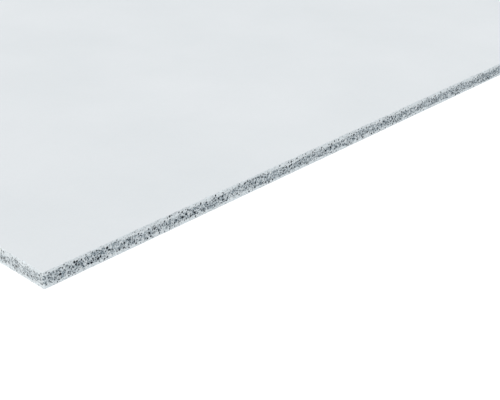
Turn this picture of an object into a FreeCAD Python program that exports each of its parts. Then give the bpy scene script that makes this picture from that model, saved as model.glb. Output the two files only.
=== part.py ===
"""Lightweight concrete board: one cast slab with smooth faces and four sawn edges.

Units are millimetres. The board lies flat with +Z up. The origin is the centre of its underside,
+X runs along the long side and +Y along the short side.
"""

import os

import FreeCAD
import Part

# Driving dimensions
board_length = 1250.0  # along X
board_width = 1000.0  # along Y
board_thickness = 12.5  # along Z
arris_bevel = 0.4  # how far handling wears each sawn arris back, measured along either face

NODE_FOLDER = "parts"


def cast_slab(length, width, thickness):
    """The full slab, centred on the origin in plan and standing on Z = 0."""
    lowest_corner = FreeCAD.Vector(-length / 2, -width / 2, 0)
    return Part.makeBox(length, width, thickness, lowest_corner)


def ease_arrises(slab, bevel):
    """The slab with the same small bevel along all twelve arrises."""
    return slab.makeChamfer(bevel, slab.Edges)


def build_board():
    slab = cast_slab(board_length, board_width, board_thickness)
    return ease_arrises(slab, arris_bevel)


def export_nodes(nodes):
    """Writes one STEP file for each node, named after it."""
    os.makedirs(NODE_FOLDER, exist_ok=True)
    for name, shape in nodes.items():
        shape.exportStep(os.path.join(NODE_FOLDER, name + ".step"))
        print(f"{name}: {shape.Volume / 1e9:.6f} m3, valid {shape.isValid()}")


export_nodes({"board": build_board()})
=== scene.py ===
import math

import bpy
import numpy as np
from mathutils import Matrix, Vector, noise
from mathutils.geometry import delaunay_2d_cdt


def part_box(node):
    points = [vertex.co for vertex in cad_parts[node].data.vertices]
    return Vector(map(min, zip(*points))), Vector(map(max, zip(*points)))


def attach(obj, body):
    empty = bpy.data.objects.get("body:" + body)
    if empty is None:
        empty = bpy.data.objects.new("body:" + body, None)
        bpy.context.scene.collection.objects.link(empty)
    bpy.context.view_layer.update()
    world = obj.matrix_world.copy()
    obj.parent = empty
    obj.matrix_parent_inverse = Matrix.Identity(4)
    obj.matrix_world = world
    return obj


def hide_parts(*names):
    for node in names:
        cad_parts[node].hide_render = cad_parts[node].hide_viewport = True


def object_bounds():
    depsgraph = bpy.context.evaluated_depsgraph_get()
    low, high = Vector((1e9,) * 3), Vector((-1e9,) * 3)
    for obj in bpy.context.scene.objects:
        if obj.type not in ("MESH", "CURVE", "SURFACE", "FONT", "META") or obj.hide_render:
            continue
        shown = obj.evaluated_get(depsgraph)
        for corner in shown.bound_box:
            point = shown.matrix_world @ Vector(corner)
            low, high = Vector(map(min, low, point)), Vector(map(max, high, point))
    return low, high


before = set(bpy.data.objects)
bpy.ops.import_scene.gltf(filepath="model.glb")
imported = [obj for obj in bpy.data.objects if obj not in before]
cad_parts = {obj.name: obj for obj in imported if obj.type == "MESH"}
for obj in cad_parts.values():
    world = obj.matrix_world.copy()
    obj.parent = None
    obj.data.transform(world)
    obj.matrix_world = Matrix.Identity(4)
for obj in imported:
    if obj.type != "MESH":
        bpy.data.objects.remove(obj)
cadLow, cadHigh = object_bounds()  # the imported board's box, before anything is added
boardLow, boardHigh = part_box("board")
print("frame loaded, board", [round(side, 4) for side in boardHigh - boardLow])

# The board is worked out in millimetres, from its lowest corner, and scaled down at the end.
mm = 0.001
boardSize = (boardHigh - boardLow) / mm
boardLength = boardSize.x
boardWidth = boardSize.y
boardThickness = boardSize.z

# Everything about the board's shape that is not its size, in millimetres unless it says otherwise.
concreteBoard = {
    "arris": {
        "seed": 11,
        "step": 2.0,  # between points along an arris
        "jitter": 0.3,  # of those points, as a share of the step
        "back": (0.1, 0.36),  # least and most that a whole arris is worn back
        "backBias": 1.5,  # over 1 the wear is mostly light
        "across": (0.7, 1.3),  # wear over the cast face, as a share of the wear down the sawn side
        "chipEvery": 46,  # length of arris for each chip
        "chipLength": (2.0, 8.0),
        "chipDepth": (0.25, 1.05),
        "chipBias": 2.2,
        "chipRagged": 0.75,  # least share of its depth at any point of a chip
        "chipAcross": (0.6, 1.1),
        "fullChip": 0.4,  # depth at which a chip has its full hollow shape
        "chipsFrom": 1.5,  # no chips nearer than this to a corner
        "chipsEase": 5.0,  # and they deepen over this length
        "corner": (0.26, 0.48),  # how far the upright corners are worn back
        "cornerArris": 0.17,  # wear of the arrises where they reach a corner
        "cornerReach": 1.2,
        "cornerSteps": 9,  # points up each upright corner
        "round": 0.42,  # how far a whole arris bulges, where 1 is a square edge
        "hollow": -0.5,  # the same in a chip
        "uneven": 0.15,
    },
    "layers": {  # dense layers under the two faces
        "top": (2.1, 3.1),  # depth where pores start, and where they are at full count
        "bottom": (1.75, 2.9),
        "poreShare": 0.34,  # pores in a dense layer, as a share of those in the core
        "swellSize": (42.0, 12.0),  # the layers grow thicker and thinner over about these lengths
        "swell": (0.6, 0.4),  # and by up to about these shares
        "swellRange": (0.55, 1.5),  # least and most, as a share of the usual thickness
        "patterns": {"bottom": (8.9, 166.6), "top": (5.3, 166.6)},  # pick where they are thick and thin
    },
    "pores": {
        "seed": 29,
        "perMetre": 2130,  # open pores and cut beads in a metre of sawn edge
        "tries": 60,  # for each pore, before the side counts as full
        "radius": (0.34, 1.2),
        "radiusBias": 1.3,  # over 1 most are small
        "sizes": ((0.42, 5, 0), (0.6, 6, 0), (0.82, 7, 0), (9.0, 8, 4)),  # radius up to, rim and floor points
        "web": 0.08,  # least material between two pores
        "margin": 0.17,  # least material between a pore and an arris
        "oval": (0.74, 1.0),
        "rimReach": (0.88, 1.04),  # of the radius, at each point of a rim
        "rimTurn": 0.16,  # radians that a point may stray round the rim
        "floor": 0.62,  # of the radius, where the floor starts in a large pore
        "floorDepth": (0.7, 0.9),  # of the full depth
        "depth": (0.55, 1.0),  # of the radius
        # painted shade with the dark inside: how dark the deep pores are painted
        "poreShadeTone": (0.72, 1.0),
        "paleShare": 0.14,  # cut beads that are paler than the mortar
        "paleDepth": 0.22,  # of a dark pore's depth
        "paleTone": (0.35, 1.0),
        "greyShare": 0.12,  # shallow pores, painted only a little darker for their lighter shade
        "greyDepth": 0.5,
        "greyTone": (0.15, 0.5),
        "clusterSize": 9.0,
        "clusterFlat": 1.7,  # how much longer than high the clusters are
        "clusterMiddle": 0.6,
        "clusterContrast": 1.3,
        "clusterShare": 0.4,  # pores in the barest patches of the core
        "patternApart": 3.7,  # between one side's clusters and the next side's
    },
    "filler": {  # points between the pores, so that no triangle is long
        "spacing": (2.6, 2.4),  # along and up a side
        "jitter": (0.6, 0.5),
        "ends": (1.6, 1.2),  # clear of the start and the end of a side
        "faces": (1.5, 1.2),  # clear of the underside and the upper face
        "fromPore": 0.7,
        "fromArris": 0.4,
    },
    "saw": {
        "depth": 0.09,  # of the saw marks
        "size": 1.7,
        "patterns": (3.655, 10.965, 18.275, 25.585),  # one for each side
        "paintedLight": (0.0, 0.27),  # painted light: how far the long and the short sides are painted paler, standing for the stronger light on the short ends, 1 for all covered
    },
    "skin": {  # the two cast faces
        "seed": 5,
        "rings": ((4.5, 9.0), (14.0, 22.0)),  # rows of points near the rim: inset and spacing
        "ringJitter": (0.3, 0.15),  # along and across a row
        "grid": 42.0,
        "gridStart": 0.8,  # of the grid's spacing
        "gridJitter": 0.2,
        "wave": 0.05,  # how far the faces dip
        "waveSize": 170.0,
        "patterns": (21.93, 29.24),  # of the underside and of the upper face
    },
    "sharpFrom": 34.0,  # degrees between faces, from which an edge is shaded sharp
}


def smoothNoise(across, up, size, pattern):
    # Perlin noise that changes over about this size, raised and halved to run from about 0 to 1
    values = [noise.noise((x / size, y / size, pattern)) for x, y in zip(across, up)]
    return (np.array(values) + 1) / 2


def wearProfile(rng, columns, length):
    # how far one arris is worn back at each column, and how much each column is chipped
    wear = concreteBoard["arris"]
    least, most = wear["back"]
    back = least + (most - least) * rng.random(len(columns)) ** wear["backBias"]
    shallow, deep = wear["chipDepth"]
    chip = np.zeros(len(columns))
    for _ in range(int(length / wear["chipEvery"])):
        middle = rng.uniform(0, length)
        reach = rng.uniform(*wear["chipLength"]) / 2
        depth = shallow + (deep - shallow) * rng.random() ** wear["chipBias"]
        bump = np.clip(1 - ((columns - middle) / reach) ** 2, 0, None) * depth
        chip = np.maximum(chip, bump * rng.uniform(wear["chipRagged"], 1, len(columns)))
    fromEnd = np.minimum(columns, length - columns)
    chip *= np.clip((fromEnd - wear["chipsFrom"]) / wear["chipsEase"], 0, 1)
    back = np.where(fromEnd < wear["cornerReach"], wear["cornerArris"], back)
    return back + chip, np.clip(chip / wear["fullChip"], 0, 1)


def edgeColumns(rng, startWear, endWear, length):
    # places of the points along one side, from corner to corner
    wear = concreteBoard["arris"]
    count = int((length - startWear - endWear) / wear["step"])
    columns = np.linspace(startWear, length - endWear, count + 1)
    columns[1:-1] += rng.uniform(-wear["jitter"], wear["jitter"], count - 1) * wear["step"]
    return columns


def layerSwell(rimPlace, layer):
    # how thick a dense layer is at a place along the rim, as a share of its usual thickness
    layers = concreteBoard["layers"]
    swell = 1.0
    for size, share in zip(layers["swellSize"], layers["swell"]):
        swell += share * noise.noise((rimPlace / size, *layers["patterns"][layer]))
    thin, thick = layers["swellRange"]
    return min(max(swell, thin), thick)


def layerShare(rimPlace, height):
    # how much of the full count of pores there is at this place: few in the dense layers
    layers = concreteBoard["layers"]
    rises = []
    for layer, depth in (("bottom", height), ("top", boardThickness - height)):
        start, full = layers[layer]
        rises.append((depth / layerSwell(rimPlace, layer) - start) / (full - start))
    return layers["poreShare"] + (1 - layers["poreShare"]) * min(max(min(rises), 0), 1)


def clusterShare(side, across, up):
    # how much of the full count there is here, from the clusters that the pores form
    pores = concreteBoard["pores"]
    size = pores["clusterSize"]
    pattern = side["number"] * pores["patternApart"]
    cluster = noise.noise((across / size, up / size * pores["clusterFlat"], pattern))
    fullness = min(max(pores["clusterMiddle"] + pores["clusterContrast"] * cluster, 0), 1)
    return pores["clusterShare"] + (1 - pores["clusterShare"]) * fullness


def soundEdge(columns, wear, across, reach):
    # the deepest wear of an arris within reach of a place along it
    first = max(np.searchsorted(columns, across - reach) - 1, 0)
    last = np.searchsorted(columns, across + reach) + 1
    return wear[first:last].max()


def nearSpots(spots, column, row):
    # what is kept in a cell of a grid and in the eight cells round it
    return [spot for i in (-1, 0, 1) for j in (-1, 0, 1) for spot in spots.get((column + i, row + j), ())]


def placePores(rng, side, columns, bottomWear, topWear):
    # centres and radii of the pores in one sawn side, packed with a thin web between neighbours
    pores = concreteBoard["pores"]
    length = side["length"]
    endRoom = concreteBoard["arris"]["corner"][1]
    wanted = int(pores["perMetre"] * length * mm)
    smallest, largest = pores["radius"]
    cell = 2 * largest + pores["web"]
    spots = {}
    placed = []
    for _ in range(wanted * pores["tries"]):
        if len(placed) == wanted:
            break
        radius = smallest + (largest - smallest) * rng.random() ** pores["radiusBias"]
        edge = radius + pores["margin"]
        across = rng.uniform(endRoom + edge, length - endRoom - edge)
        up = rng.uniform(edge, boardThickness - edge)
        share = clusterShare(side, across, up) * layerShare(side["from"] + across, up)
        if rng.random() > share:
            continue
        column = int(across / cell)
        row = int(up / cell)
        close = nearSpots(spots, column, row)
        if any(math.hypot(across - x, up - y) < radius + r + pores["web"] for x, y, r in close):
            continue
        if up - edge < soundEdge(columns, bottomWear, across, radius):
            continue
        if boardThickness - up - edge < soundEdge(columns, topWear, across, radius):
            continue
        spots.setdefault((column, row), []).append((across, up, radius))
        placed.append((across, up, radius))
    return placed


def fillPoints(rng, side, placed, columns, bottomWear, topWear):
    # points between the pores
    filler = concreteBoard["filler"]
    endRoom = concreteBoard["arris"]["corner"][1]
    stepAlong, stepUp = filler["spacing"]
    jitterAlong, jitterUp = filler["jitter"]
    startClear, endClear = filler["ends"]
    bottomClear, topClear = filler["faces"]
    taken = {}
    for across, up, radius in placed:
        cell = (int(across / stepAlong), int(up / stepAlong))
        taken.setdefault(cell, []).append((across, up, radius + filler["fromPore"]))
    points = []
    for across in np.arange(endRoom + startClear, side["length"] - endRoom - endClear, stepAlong):
        for up in np.arange(bottomClear, boardThickness - topClear, stepUp):
            x = across + rng.uniform(-jitterAlong, jitterAlong)
            y = up + rng.uniform(-jitterUp, jitterUp)
            low = soundEdge(columns, bottomWear, x, 0) + filler["fromArris"]
            high = boardThickness - soundEdge(columns, topWear, x, 0) - filler["fromArris"]
            near = nearSpots(taken, int(x / stepAlong), int(y / stepAlong))
            if low < y < high and all(math.hypot(x - px, y - py) > reach for px, py, reach in near):
                points.append((x, y))
    return points


def poreOutline(rng, radius, count):
    # one ring of an uneven, slightly oval pore, as offsets from its centre
    pores = concreteBoard["pores"]
    turn = rng.uniform(0, math.tau)
    oval = rng.uniform(*pores["oval"])
    angles = np.arange(count) * math.tau / count + rng.uniform(-pores["rimTurn"], pores["rimTurn"], count)
    reach = radius * rng.uniform(*pores["rimReach"], count)
    x = reach * np.cos(angles)
    y = reach * np.sin(angles) * oval
    return np.stack([x * math.cos(turn) - y * math.sin(turn), x * math.sin(turn) + y * math.cos(turn)], 1)


def poreKind(rng, radius):
    # how deep a pore is, and how dark it is painted for its shade and dark inside, or, below 0, how pale
    pores = concreteBoard["pores"]
    kind = rng.random()
    depth = radius * rng.uniform(*pores["depth"])
    tone = rng.uniform(*pores["poreShadeTone"])
    if kind < pores["paleShare"]:
        return depth * pores["paleDepth"], -rng.uniform(*pores["paleTone"])
    if kind < pores["paleShare"] + pores["greyShare"]:
        return depth * pores["greyDepth"], rng.uniform(*pores["greyTone"])
    return depth, tone


def cutHollows(rng, placed, firstPoint):
    # the points of every pore, the pore and the depth that each has, the rims' edges and the tones
    pores = concreteBoard["pores"]
    points, owner, sink, edges, tones = [], [], [], [], []
    for number, (across, up, radius) in enumerate(placed):
        depth, tone = poreKind(rng, radius)
        tones.append(tone)
        rimCount, floorCount = next(counts for upTo, *counts in pores["sizes"] if radius < upTo)
        first = firstPoint + len(points)
        edges += [(first + i, first + (i + 1) % rimCount) for i in range(rimCount)]
        points += (poreOutline(rng, radius, rimCount) + (across, up)).tolist()
        sink += [0.0] * rimCount
        if floorCount:
            points += (poreOutline(rng, radius * pores["floor"], floorCount) + (across, up)).tolist()
            sink += [depth * rng.uniform(*pores["floorDepth"]) for _ in range(floorCount)]
        points.append((across, up))
        sink.append(depth)
        owner += [number] * (rimCount + floorCount + 1)
    return points, owner, sink, edges, tones


class MeshParts:
    # vertices, faces and what is known of each, gathered piece by piece
    def __init__(self):
        self.places = []
        self.strip = []  # how far round the rim and up the edge each point is
        self.hollow = []
        self.faces = []
        self.tones = []
        self.paintedLight = []
        self.finish = []
        self.castRims = []
        self.count = 0

    def addPoints(self, places, strip, hollow=0.0):
        first = self.count
        self.places.append(np.asarray(places, float))
        self.strip.append(np.asarray(strip, float))
        self.hollow.append(np.broadcast_to(hollow, len(places)))
        self.count += len(places)
        return np.arange(first, self.count)

    def addFaces(self, faces, finish, tones=0.0, paintedLight=0.0):
        self.faces.append(np.asarray(faces, int))
        self.finish.append(np.full(len(faces), finish))
        self.tones.append(np.broadcast_to(tones, len(faces)))
        self.paintedLight.append(np.broadcast_to(paintedLight, len(faces)))

    def addBand(self, below, above, finish):
        # a closed band of triangles between two rings of as many points
        nextBelow = np.roll(below, -1)
        nextAbove = np.roll(above, -1)
        self.addFaces(np.stack([below, nextBelow, nextAbove], 1), finish)
        self.addFaces(np.stack([below, nextAbove, above], 1), finish)


castFinish = 0
sawnFinish = 1


def triangulate(points, edges, outlineCount):
    # Delaunay triangles inside the outline, which is the first points, as rows of point numbers
    tolerance = 1e-6
    onlyInside = 1
    spots = [Vector((float(x), float(y))) for x, y in points]
    found = delaunay_2d_cdt(spots, edges, [list(range(outlineCount))], onlyInside, tolerance)
    source = [originals[0] for originals in found[3]]
    return np.array([[source[corner] for corner in face] for face in found[2]])


def sidePlaces(side, along, inset, up):
    # points on a side, in the board's own millimetres, from how far along, in and up they are
    way = np.array(side["along"], float)
    inward = np.array((-way[1], way[0]))
    flat = np.array(side["corner"]) + np.outer(along, way) + np.outer(inset, inward)
    return np.column_stack([flat, up])


def sawSide(parts, rng, side, columns, bottomWear, topWear, startColumn, endColumn):
    # one sawn side: its outline, its pores as real hollows and the faint saw marks
    saw = concreteBoard["saw"]
    bottomLine = np.stack([columns, bottomWear], 1)
    topLine = np.stack([columns, boardThickness - topWear], 1)
    outline = np.concatenate([bottomLine, endColumn[1:-1], topLine[::-1], startColumn[1:-1][::-1]])
    placed = placePores(rng, side, columns, bottomWear, topWear)
    hollows, owner, sink, edges, tones = cutHollows(rng, placed, len(outline))
    between = fillPoints(rng, side, placed, columns, bottomWear, topWear)
    points = np.concatenate([outline, hollows, between])
    owner = np.concatenate([np.full(len(outline), -1), owner, np.full(len(between), -1)])
    sink = np.concatenate([np.zeros(len(outline)), sink, np.zeros(len(between))])

    faces = triangulate(points, edges, len(outline))
    marks = smoothNoise(points[:, 0], points[:, 1], saw["size"], saw["patterns"][side["number"]])
    inset = sink + saw["depth"] * np.clip(marks, 0, 1)
    places = sidePlaces(side, points[:, 0], inset, points[:, 1])
    strip = np.stack([side["from"] + points[:, 0], points[:, 1]], 1)
    numbers = parts.addPoints(places, strip, np.where(sink > 0, 1.0, 0.0))
    owners = owner[faces]
    inPore = (owners[:, 0] >= 0) & (owners == owners[:, :1]).all(1)
    # painted shade: every face inside a pore takes the pore's dark tone, a bead's pale one
    faceTones = np.where(inPore, np.array(tones)[owners[:, 0]], 0.0)
    parts.addFaces(numbers[faces], sawnFinish, faceTones, side["paintedLight"])

    # the outline runs along the bottom, up the far corner, back along the top and down the near corner
    lower = len(columns)
    right = lower + len(endColumn) - 2
    upper = right + lower
    return {
        "bottom": numbers[:lower],
        "end": numbers[lower - 1:right + 1],
        "top": numbers[right:upper][::-1],
        "start": np.concatenate([numbers[:1], numbers[upper:len(outline)][::-1], numbers[upper - 1:upper]]),
        "pores": len(placed),
    }


def boardSides():
    # the four sawn sides in order round the board, each starting at a corner
    corners = [(0, 0), (boardLength, 0), (boardLength, boardWidth), (0, boardWidth)]
    ways = [(1, 0), (0, 1), (-1, 0), (0, -1)]
    lengths = [boardLength, boardWidth, boardLength, boardWidth]
    paintedLight = concreteBoard["saw"]["paintedLight"]
    sides = []
    for number in range(4):
        sides.append({"number": number, "corner": corners[number], "along": ways[number],
                      "length": lengths[number], "from": sum(lengths[:number]), "paintedLight": paintedLight[number % 2]})
    return sides


def wornArris(parts, rng, side, columns, down, inward, chip, onTop):
    # the ring of points in the middle of a worn arris and the ring where it meets the cast face
    wear = concreteBoard["arris"]
    bulge = wear["round"] + (wear["hollow"] - wear["round"]) * chip
    bulge += rng.uniform(-wear["uneven"], wear["uneven"], len(columns))
    middleDown = down / 2 * (1 - bulge)
    middleIn = inward / 2 * (1 - bulge)
    face = boardThickness if onTop else 0.0
    way = -1 if onTop else 1
    rings = []
    for inset, drop, overFace in ((middleIn, middleDown, 0.0), (inward, np.zeros(len(columns)), inward)):
        up = face + way * drop
        strip = np.stack([side["from"] + columns, up - way * overFace], 1)
        rings.append(parts.addPoints(sidePlaces(side, columns, inset, up), strip))
    return rings


def castFace(parts, rng, ring, onTop):
    # a cast face inside its ring of arris points, dipping by a hair here and there
    skin = concreteBoard["skin"]
    parts.castRims.append(ring)
    outline = np.concatenate(parts.places)[ring][:, :2]
    jitterAlong, jitterAcross = skin["ringJitter"]
    inside = []
    for inset, spacing in skin["rings"]:
        for side in boardSides():
            along = np.arange(inset, side["length"] - inset - spacing / 2, spacing)
            along = along + rng.uniform(0, jitterAlong, len(along)) * spacing
            wander = inset + rng.uniform(-jitterAcross, jitterAcross, len(along)) * inset
            inside.append(sidePlaces(side, along, wander, along * 0)[:, :2])
    grid = skin["grid"]
    start = grid * skin["gridStart"]
    x = np.arange(start, boardLength - start / 2, grid)
    y = np.arange(start, boardWidth - start / 2, grid)
    crossings = np.stack(np.meshgrid(x, y), -1).reshape(-1, 2)
    inside.append(crossings + rng.uniform(-skin["gridJitter"], skin["gridJitter"], crossings.shape) * grid)
    inside = np.concatenate(inside)
    faces = triangulate(np.concatenate([outline, inside]), [], len(outline))
    dip = skin["wave"] * smoothNoise(inside[:, 0], inside[:, 1], skin["waveSize"], skin["patterns"][onTop])
    up = boardThickness - dip if onTop else dip
    numbers = parts.addPoints(np.column_stack([inside, up]), np.zeros((len(inside), 2)))
    numbers = np.concatenate([ring, numbers])
    parts.addFaces(numbers[faces if onTop else faces[:, ::-1]], castFinish)


def wearSide(rng, side, columns):
    # wear down the side and in over the face, and the chips, for the two arrises of one side
    wear = concreteBoard["arris"]
    worn = {}
    for face in ("top", "bottom"):
        down, chip = wearProfile(rng, columns, side["length"])
        inChips = rng.uniform(*wear["chipAcross"], len(columns))
        elsewhere = rng.uniform(*wear["across"], len(columns))
        inward = down * np.where(chip > 0, inChips, elsewhere)
        inward[[0, -1]] = wear["cornerArris"]
        worn[face] = (down, inward, chip)
    return worn


def cornerColumn(worn, which, across, along):
    # the points up one upright corner, as places along and up a side
    bottom = worn["bottom"][0][which]
    top = boardThickness - worn["top"][0][which]
    column = np.stack([across, np.linspace(bottom, top, len(across))], 1)
    column[[0, -1], 0] = along
    return column


def buildBoardMesh():
    wear = concreteBoard["arris"]
    rng = np.random.default_rng(wear["seed"])
    poreRng = np.random.default_rng(concreteBoard["pores"]["seed"])
    skinRng = np.random.default_rng(concreteBoard["skin"]["seed"])
    parts = MeshParts()
    sides = boardSides()
    cornerWear = [rng.uniform(*wear["corner"], (2, wear["cornerSteps"])) for _ in sides]
    rings = {"sawnTop": [], "midTop": [], "castTop": [], "sawnBottom": [], "midBottom": [], "castBottom": []}
    made = []
    for side in sides:
        startWear = cornerWear[side["number"]][1]
        endWear = cornerWear[(side["number"] + 1) % len(sides)][0]
        columns = edgeColumns(rng, startWear[-1], endWear[-1], side["length"])
        worn = wearSide(rng, side, columns)
        startColumn = cornerColumn(worn, 0, startWear, columns[0])
        endColumn = cornerColumn(worn, -1, side["length"] - endWear, columns[-1])
        bottomWear = worn["bottom"][0]
        topWear = worn["top"][0]
        sawn = sawSide(parts, poreRng, side, columns, bottomWear, topWear, startColumn, endColumn)
        made.append(sawn)
        for face in ("Top", "Bottom"):
            middle, cast = wornArris(parts, rng, side, columns, *worn[face.lower()], face == "Top")
            rings["sawn" + face].append(sawn[face.lower()])
            rings["mid" + face].append(middle)
            rings["cast" + face].append(cast)
    rings = {name: np.concatenate(found) for name, found in rings.items()}
    parts.addBand(rings["sawnTop"], rings["midTop"], sawnFinish)
    parts.addBand(rings["midTop"], rings["castTop"], sawnFinish)
    parts.addBand(rings["castBottom"], rings["midBottom"], sawnFinish)
    parts.addBand(rings["midBottom"], rings["sawnBottom"], sawnFinish)
    for number in range(len(sides)):
        end = made[number]["end"]
        start = made[(number + 1) % len(sides)]["start"]
        parts.addFaces(np.stack([end[:-1], start[:-1], start[1:]], 1), sawnFinish)
        parts.addFaces(np.stack([end[:-1], start[1:], end[1:]], 1), sawnFinish)
    castFace(parts, skinRng, rings["castTop"], True)
    castFace(parts, skinRng, rings["castBottom"], False)
    print("pores cut in the sawn sides:", [sawn["pores"] for sawn in made])
    return parts


surfaceMap = {  # lengths are shares of the map's side, unless it says otherwise
    "rows": 15,  # that the sawn rim is cut into
    "rowPitch": 0.04,
    "rowGap": 0.004,
    "spare": 5.0,  # millimetres of room at each end of a row
    "overArris": 1.0,  # millimetres that a row takes in past each arris
    "castLength": 0.49,
    "castWidth": 0.98,  # of the scale along the board
    "castFrom": (0.005, 0.004),
    "castApart": 0.5,
}


def layOutMap(mesh, places, strip, faces, finish):
    # one map for the whole board: the two cast faces side by side above, the sawn rim in rows below
    layout = surfaceMap
    rows = layout["rows"]
    spare = layout["spare"]
    rim = 2 * (boardLength + boardWidth)
    rowLength = rim / rows
    corners = strip[faces]
    along = corners[:, :, 0].copy()
    wraps = np.ptp(along, axis=1) > rim / 2
    along[wraps] += np.where(along[wraps] < rim / 2, rim, 0)
    row = np.clip((along.mean(1) / rowLength).astype(int), 0, rows - 1)[:, None]
    sawnU = (along - row * rowLength + spare) / (rowLength + 2 * spare)
    up = (corners[:, :, 1] + layout["overArris"]) / (boardThickness + 2 * layout["overArris"])
    rowBase = row * layout["rowPitch"] + layout["rowGap"] / 2
    sawnV = rowBase + up.clip(0, 1) * (layout["rowPitch"] - layout["rowGap"])

    flat = places[faces]
    scale = layout["castLength"] / boardLength
    firstU, firstV = layout["castFrom"]
    onTop = flat[:, :, 2].mean(1) > boardThickness / 2
    castU = firstU + flat[:, :, 0] * scale + np.where(onTop, 0, layout["castApart"])[:, None]
    castV = rows * layout["rowPitch"] + firstV + flat[:, :, 1] * scale * layout["castWidth"]
    cast = (finish == castFinish)[:, None]
    uv = np.stack([np.where(cast, castU, sawnU), np.where(cast, castV, sawnV)], -1)
    layer = mesh.uv_layers.new(name="OFBake")
    layer.uv.foreach_set("vector", uv.astype(np.float32).ravel())


def sharpenRims(mesh, rims):
    # the cast faces stay flat up to their rims, with no shading carried over from the worn arrises
    ends = np.empty(len(mesh.edges) * 2, int)
    mesh.edges.foreach_get("vertices", ends)
    sharp = np.empty(len(mesh.edges), bool)
    mesh.edges.foreach_get("use_edge_sharp", sharp)
    sharp |= np.isin(ends.reshape(-1, 2), rims).all(1)
    mesh.edges.foreach_set("use_edge_sharp", sharp)


def addAttribute(mesh, name, domain, values):
    attribute = mesh.attributes.new(name, "FLOAT", domain)
    attribute.data.foreach_set("value", np.asarray(values, np.float32))


def makeBoard(castMaterial, sawnMaterial):
    parts = buildBoardMesh()
    places = np.concatenate(parts.places)
    strip = np.concatenate(parts.strip)
    faces = np.concatenate(parts.faces)
    finish = np.concatenate(parts.finish)
    mesh = bpy.data.meshes.new("concreteBoard")
    mesh.from_pydata((places * mm + np.array(boardLow)).tolist(), [], faces.tolist())
    mesh.materials.append(castMaterial)
    mesh.materials.append(sawnMaterial)
    mesh.polygons.foreach_set("material_index", finish)
    mesh.polygons.foreach_set("use_smooth", np.ones(len(faces), bool))
    mesh.set_sharp_from_angle(angle=math.radians(concreteBoard["sharpFrom"]))
    sharpenRims(mesh, np.concatenate(parts.castRims))
    # painted shade: how dark each pore's faces are painted, and how pale each bead's
    addAttribute(mesh, "poreShadeAndBead", "FACE", np.concatenate(parts.tones))
    # painted light: the share of each face painted paler, standing for stronger light on it
    addAttribute(mesh, "paintedLightShare", "FACE", np.concatenate(parts.paintedLight))
    addAttribute(mesh, "hollow", "POINT", np.concatenate(parts.hollow))
    for layer in ("bottom", "top"):
        swell = [layerSwell(rimPlace, layer) for rimPlace in strip[:, 0]]
        addAttribute(mesh, layer + "Swell", "POINT", swell)
    layOutMap(mesh, places, strip, faces, finish)
    mesh.update()
    board = bpy.data.objects.new("concreteBoard", mesh)
    bpy.context.scene.collection.objects.link(board)
    print("board mesh:", len(places), "points,", len(faces), "triangles")
    return board


def addNode(tree, kind, label, **settings):
    node = tree.nodes.new(kind)
    node.label = label
    for name, value in settings.items():
        setattr(node, name, value)
    return node


def setInputs(node, **values):
    for name, value in values.items():
        node.inputs[name].default_value = value


def plug(tree, value, socket):
    # value is another node's output, or a number or colour that stays
    if isinstance(value, bpy.types.NodeSocket):
        tree.links.new(value, socket)
    else:
        socket.default_value = value


def fromSrgb(red, green, blue):
    # a colour picked as 0-255 screen values, as the linear colour that nodes take
    lift = 0.055  # of the sRGB curve, as it is for all but the darkest values
    power = 2.4
    linear = [((value / 255 + lift) / (1 + lift)) ** power for value in (red, green, blue)]
    return (*linear, 1.0)


def mixColours(tree, label, factor, first, second):
    # the Mix node's sockets 6, 7 and 2 are the ones that carry colours
    mix = addNode(tree, "ShaderNodeMix", label, data_type="RGBA")
    plug(tree, factor, mix.inputs[0])
    plug(tree, first, mix.inputs[6])
    plug(tree, second, mix.inputs[7])
    return mix.outputs[2]


def mapRange(tree, label, value, fromRange, toRange=(0.0, 1.0), smooth=False):
    node = addNode(tree, "ShaderNodeMapRange", label)
    node.interpolation_type = "SMOOTHSTEP" if smooth else "LINEAR"
    tree.links.new(value, node.inputs["Value"])
    for name, number in zip(("From Min", "From Max", "To Min", "To Max"), (*fromRange, *toRange)):
        node.inputs[name].default_value = number
    return node.outputs["Result"]


def maths(tree, label, operation, *values):
    node = addNode(tree, "ShaderNodeMath", label, operation=operation)
    for socket, value in zip(node.inputs, values):
        plug(tree, value, socket)
    return node.outputs[0]


usualNoise = (0.3, 0.7)  # most of a noise texture's values lie between these


def noiseTexture(tree, label, coordinates, size, detail=2.0, roughness=0.5):
    # noise whose blotches are about this many millimetres across
    node = addNode(tree, "ShaderNodeTexNoise", label)
    setInputs(node, Scale=1 / (size * mm), Detail=detail, Roughness=roughness)
    tree.links.new(coordinates, node.inputs["Vector"])
    return node.outputs


def grainTexture(tree, label, coordinates, size):
    # cells of about this many millimetres: how far each place is from its cell's middle, and
    # two random numbers for each cell
    node = addNode(tree, "ShaderNodeTexVoronoi", label, feature="F1")
    setInputs(node, Scale=1 / (size * mm))
    tree.links.new(coordinates, node.inputs["Vector"])
    tone = addNode(tree, "ShaderNodeSeparateColor", label + " tone")
    tree.links.new(node.outputs["Color"], tone.inputs[0])
    return node.outputs["Distance"], tone.outputs[0], tone.outputs[1]


def warped(tree, place, size, reach):
    # coordinates pushed about by noise, so that grains and specks are uneven in outline
    push = noiseTexture(tree, "warp", place, size)["Color"]
    shift = addNode(tree, "ShaderNodeVectorMath", "warp reach", operation="MULTIPLY_ADD")
    plug(tree, push, shift.inputs[0])
    plug(tree, (reach * mm, reach * mm, reach * mm), shift.inputs[1])
    plug(tree, place, shift.inputs[2])
    return shift.outputs["Vector"]


def meshValue(tree, name):
    return addNode(tree, "ShaderNodeAttribute", name, attribute_name=name).outputs["Fac"]


def addBump(tree, shader, label, height, strength, distance):
    bump = addNode(tree, "ShaderNodeBump", label)
    setInputs(bump, Strength=strength, Distance=distance)
    tree.links.new(height, bump.inputs["Height"])
    tree.links.new(bump.outputs["Normal"], shader.inputs["Normal"])


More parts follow.
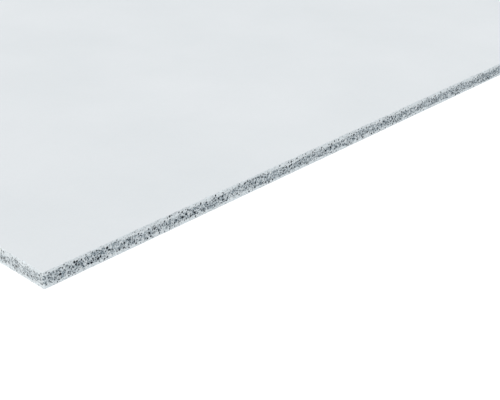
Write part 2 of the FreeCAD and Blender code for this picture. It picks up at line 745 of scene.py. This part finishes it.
def newFinish(name):
    material = bpy.data.materials.new(name)
    material.use_nodes = True
    tree = material.node_tree
    return material, tree, tree.nodes["Principled BSDF"]


def boardPlace(tree):
    return addNode(tree, "ShaderNodeTexCoord", "board coordinates").outputs["Object"]


castLook = {
    "pale": fromSrgb(229, 233, 236),
    "grey": fromSrgb(222, 227, 230),
    "spread": (0.32, 0.68),  # of the clouds, from grey to pale
    "cloudSize": 130.0,
    "cloudShare": 0.65,
    "grainSize": 1.3,
    "grainShare": 0.35,
    "roughness": (0.72, 0.84),
    "bump": 0.00004,  # metres
    "specular": 0.3,
}


def castFaceFinish():
    # smooth skin against the mould: pale cool grey, cloudy, with a very fine grain
    look = castLook
    material, tree, shader = newFinish("castFace")
    place = boardPlace(tree)
    cloud = noiseTexture(tree, "clouds", place, look["cloudSize"], detail=4.0, roughness=0.55)["Fac"]
    grain = noiseTexture(tree, "fine grain", place, look["grainSize"], detail=3.0, roughness=0.6)["Fac"]
    clouds = maths(tree, "clouds", "MULTIPLY", cloud, look["cloudShare"])
    mixed = maths(tree, "clouds and grain", "MULTIPLY_ADD", grain, look["grainShare"], clouds)
    paleness = mapRange(tree, "how pale", mixed, look["spread"])
    skin = mixColours(tree, "skin", paleness, look["grey"], look["pale"])
    tree.links.new(skin, shader.inputs["Base Color"])
    matt = mapRange(tree, "matt", grain, usualNoise, look["roughness"])
    tree.links.new(matt, shader.inputs["Roughness"])
    addBump(tree, shader, "skin grain", grain, 1.0, look["bump"])
    setInputs(shader, **{"Specular IOR Level": look["specular"]})
    return material


sawnLook = {
    "mortar": fromSrgb(235, 243, 247),
    "mortarDark": fromSrgb(112, 130, 141),
    "denseLayer": fromSrgb(232, 240, 244),
    # painted shade over the pores' dark inside: darkest at their floors, lighter up their walls
    "shadedPoreFloor": fromSrgb(18, 23, 31),
    "shadedPoreWall": fromSrgb(48, 61, 73),
    "bead": fromSrgb(238, 241, 243),
    # painted shade with a dark inside, for the pits too fine for the mesh
    "tinyPitShade": fromSrgb(38, 51, 62),
    # painted light: the paler colour that stands for the stronger light on the short sides
    "paintedLight": fromSrgb(219, 222, 221),
    "grainSize": 1.15,
    "mottleSize": 0.7,
    "grainShare": 0.55,
    "mottleShare": 0.9,
    "mortarSpread": (0.35, 1.05),
    "warpSize": 0.9,
    "warpReach": 1.0,
    "topLayer": 3.05,  # thickness in millimetres, before it swells
    "bottomLayer": 2.8,
    "layerSoft": 0.5,  # half the width of the layers' borders
    "layerWander": 0.55,  # how far the borders stray
    "wanderSize": 4.0,
    "wanderSpread": (0.25, 0.75),  # values of the noise for the lowest and the highest border
    "patchSpread": (0.2, 0.8),
    "layerPatchy": (0.7, 1.0),  # how far a dense layer covers the mortar's own tones
    "tinyPitSize": 1.45,
    "tinyPitCells": (0.2, 1.0),  # cells numbered below the first have no speck
    "tinyPitRadius": 0.56,  # of the largest speck, as a share of a cell
    "tinyPitEdge": 0.06,
    "tinyPitLeft": (0.95, 0.32),  # strength of the specks in the core and in the dense layers
    "poreShadeRamp": (0.05, 0.55),
    "paintedLightPatches": (0.6, 1.4),
    "roughness": (0.82, 0.95),
    "bump": 0.00022,
    "bumpStrength": 0.8,
    "specular": 0.25,
}


def denseLayers(tree, place):
    # 1 in the dense layers under the two faces, 0 in the core, with a wandering border
    look = sawnLook
    height = addNode(tree, "ShaderNodeSeparateXYZ", "height")
    tree.links.new(place, height.inputs[0])
    border = noiseTexture(tree, "layer border", place, look["wanderSize"], detail=3.0, roughness=0.6)["Fac"]
    wander = look["layerWander"] * mm
    shift = mapRange(tree, "border shift", border, look["wanderSpread"], (-wander, wander))
    up = maths(tree, "shifted height", "ADD", height.outputs["Z"], shift)
    above = maths(tree, "above the underside", "SUBTRACT", up, boardLow.z)
    below = maths(tree, "below the upper face", "SUBTRACT", boardHigh.z, up)
    shares = []
    for name, depth in (("bottom", above), ("top", below)):
        evened = maths(tree, name + " depth", "DIVIDE", depth, meshValue(tree, name + "Swell"))
        thickness = look[name + "Layer"]
        deep = (thickness + look["layerSoft"]) * mm
        shallow = (thickness - look["layerSoft"]) * mm
        shares.append(mapRange(tree, name + " layer", evened, (deep, shallow), smooth=True))
    return maths(tree, "dense", "MAXIMUM", *shares)


def mortarColour(tree, place, uneven, fine, dense):
    # grains from white to grey in the core, evened out towards one pale tone in the dense layers
    look = sawnLook
    grainTone = grainTexture(tree, "mortar grains", uneven, look["grainSize"])[1]
    mottling = maths(tree, "mottling", "MULTIPLY", fine, look["mottleShare"])
    mottled = maths(tree, "mottled grains", "MULTIPLY_ADD", grainTone, look["grainShare"], mottling)
    paleness = mapRange(tree, "mortar share", mottled, look["mortarSpread"])
    mortar = mixColours(tree, "mortar", paleness, look["mortarDark"], look["mortar"])
    patchy = mapRange(tree, "patchy", mottled, look["patchSpread"], look["layerPatchy"])
    paler = maths(tree, "dense share", "MULTIPLY", dense, patchy)
    return mixColours(tree, "dense layers", paler, mortar, look["denseLayer"])


def shadedTinyPits(tree, uneven):
    # 1 on the tiny pits that are too fine for the mesh, painted dark for their shade and dark inside
    look = sawnLook
    distance, _, number = grainTexture(tree, "tinyPitShade", uneven, look["tinyPitSize"])
    radius = mapRange(tree, "grit radius", number, look["tinyPitCells"], (0.0, look["tinyPitRadius"]))
    inside = maths(tree, "grit edge", "SUBTRACT", radius, distance)
    return mapRange(tree, "speck", inside, (0.0, look["tinyPitEdge"]), smooth=True)


def cutPoreColour(tree, mortar):
    # pores painted dark for their shade and dark inside, darkest at their floors as painted shade, and pale
    # beads over the mortar, as the mesh says
    look = sawnLook
    tone = meshValue(tree, "poreShadeAndBead")
    deep = mapRange(tree, "deep", meshValue(tree, "hollow"), look["poreShadeRamp"], smooth=True)
    shadedPoreColour = mixColours(tree, "pore", deep, look["shadedPoreWall"], look["shadedPoreFloor"])
    darkShare = mapRange(tree, "pore share", tone, (0.0, 1.0))
    withPores = mixColours(tree, "with pores", darkShare, mortar, shadedPoreColour)
    paleShare = mapRange(tree, "bead share", tone, (0.0, -1.0))
    return mixColours(tree, "with beads", paleShare, withPores, look["bead"])


def sawnEdgeFinish():
    # sawn core: grey mortar full of cut beads and pores painted dark for their shade and dark inside, between
    # two paler dense layers, with the short sides painted paler as painted light
    look = sawnLook
    material, tree, shader = newFinish("sawnEdge")
    place = boardPlace(tree)
    dense = denseLayers(tree, place)
    fine = noiseTexture(tree, "fine mottling", place, look["mottleSize"], detail=3.0, roughness=0.65)["Fac"]
    uneven = warped(tree, place, look["warpSize"], look["warpReach"])
    mortar = mortarColour(tree, place, uneven, fine, dense)
    speck = shadedTinyPits(tree, uneven)
    # painted shade: the tiny pits painted dark, fewer of them in the dense layers
    left = mapRange(tree, "specks left", dense, (0.0, 1.0), look["tinyPitLeft"])
    tinyPitShare = maths(tree, "grit share", "MULTIPLY", speck, left)
    withTinyPits = mixColours(tree, "with grit", tinyPitShare, mortar, look["tinyPitShade"])
    cut = cutPoreColour(tree, withTinyPits)
    # painted light: the short sides painted paler in patches, standing for the stronger light on them
    patches = mapRange(tree, "dust patches", fine, usualNoise, look["paintedLightPatches"])
    paintedLight = maths(tree, "patchy dust", "MULTIPLY", meshValue(tree, "paintedLightShare"), patches)
    withPaintedLight = mixColours(tree, "withPaintedLight", paintedLight, cut, look["paintedLight"])
    tree.links.new(withPaintedLight, shader.inputs["Base Color"])
    dry = mapRange(tree, "dry", fine, usualNoise, look["roughness"])
    tree.links.new(dry, shader.inputs["Roughness"])
    crumbs = maths(tree, "crumbs and specks", "SUBTRACT", fine, speck)
    addBump(tree, shader, "crumbs", crumbs, look["bumpStrength"], look["bump"])
    setInputs(shader, **{"Specular IOR Level": look["specular"]})
    return material


studio = {
    "white": (1.0, 1.0, 1.0, 1.0),
    "floorSize": 60.0,
    "floorColour": (0.8, 0.8, 0.8, 1.0),
    "floorLift": 0.34,  # added for the camera only, so that the lit floor is white
    "ambient": 0.5,
    "keyStrength": 1.96,
    "keySoftness": 40.0,  # degrees across
    "keyFrom": (-0.55, -0.25, 0.8),
}


def seenBehind(tree):
    # 1 for rays that show the surroundings to the camera, straight or through gloss and glass
    path = addNode(tree, "ShaderNodeLightPath", "ray kind")
    straight = path.outputs["Is Camera Ray"]
    glossy = path.outputs["Is Glossy Ray"]
    either = maths(tree, "camera or glossy", "MAXIMUM", straight, glossy)
    return maths(tree, "or transmission", "MAXIMUM", either, path.outputs["Is Transmission Ray"])


def layFloor():
    half = studio["floorSize"] / 2
    centre = (cadLow + cadHigh) / 2
    level = cadLow.z
    turns = ((-1, -1), (1, -1), (1, 1), (-1, 1))
    corners = [(centre.x + x * half, centre.y + y * half, level) for x, y in turns]
    mesh = bpy.data.meshes.new("floor")
    mesh.from_pydata(corners, [], [(0, 1, 2, 3)])
    floor = bpy.data.objects.new("floor", mesh)
    bpy.context.scene.collection.objects.link(floor)
    material, tree, shader = newFinish("paleFloor")
    setInputs(shader, **{"Base Color": studio["floorColour"], "Roughness": 1.0, "Specular IOR Level": 0.0})
    setInputs(shader, **{"Emission Color": studio["white"]})
    lift = maths(tree, "camera lift", "MULTIPLY", seenBehind(tree), studio["floorLift"])
    tree.links.new(lift, shader.inputs["Emission Strength"])
    mesh.materials.append(material)


def lightStudio():
    world = bpy.data.worlds.new("studio")
    bpy.context.scene.world = world
    world.use_nodes = True
    tree = world.node_tree
    ambient = tree.nodes["Background"]
    setInputs(ambient, Color=studio["white"], Strength=studio["ambient"])
    backdrop = addNode(tree, "ShaderNodeBackground", "white backdrop")
    setInputs(backdrop, Color=studio["white"], Strength=1.0)
    mix = addNode(tree, "ShaderNodeMixShader", "backdrop for the camera")
    tree.links.new(seenBehind(tree), mix.inputs[0])
    tree.links.new(ambient.outputs[0], mix.inputs[1])
    tree.links.new(backdrop.outputs[0], mix.inputs[2])
    tree.links.new(mix.outputs[0], tree.nodes["World Output"].inputs["Surface"])

    lamp = bpy.data.lights.new("softKey", "SUN")
    lamp.energy = studio["keyStrength"]
    lamp.angle = math.radians(studio["keySoftness"])
    key = bpy.data.objects.new("softKey", lamp)
    key.rotation_euler = Vector(studio["keyFrom"]).to_track_quat("Z", "Y").to_euler()
    bpy.context.scene.collection.objects.link(key)


camera = {
    "lens": 75.16,
    "fromNearCorner": (-0.3202, -0.4854, 0.3529),  # metres from the board's lowest corner
    "turn": 43.57,  # degrees from +X towards +Y
    "down": 27.01,  # degrees below level
}


def placeCamera():
    data = bpy.data.cameras.new("camera")
    data.lens = camera["lens"]
    holder = bpy.data.objects.new("camera", data)
    turn = math.radians(camera["turn"])
    down = math.radians(camera["down"])
    forward = Vector((math.cos(down) * math.cos(turn), math.cos(down) * math.sin(turn), -math.sin(down)))
    holder.location = boardLow + Vector(camera["fromNearCorner"])
    holder.rotation_euler = forward.to_track_quat("-Z", "Y").to_euler()
    bpy.context.scene.collection.objects.link(holder)
    bpy.context.scene.camera = holder


castMaterial = castFaceFinish()
sawnMaterial = sawnEdgeFinish()
print("finishes ready")

board = makeBoard(castMaterial, sawnMaterial)
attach(board, "root")
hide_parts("board")
layFloor()
lightStudio()
placeCamera()
bpy.context.scene.view_settings.view_transform = "Standard"
print("studio ready")
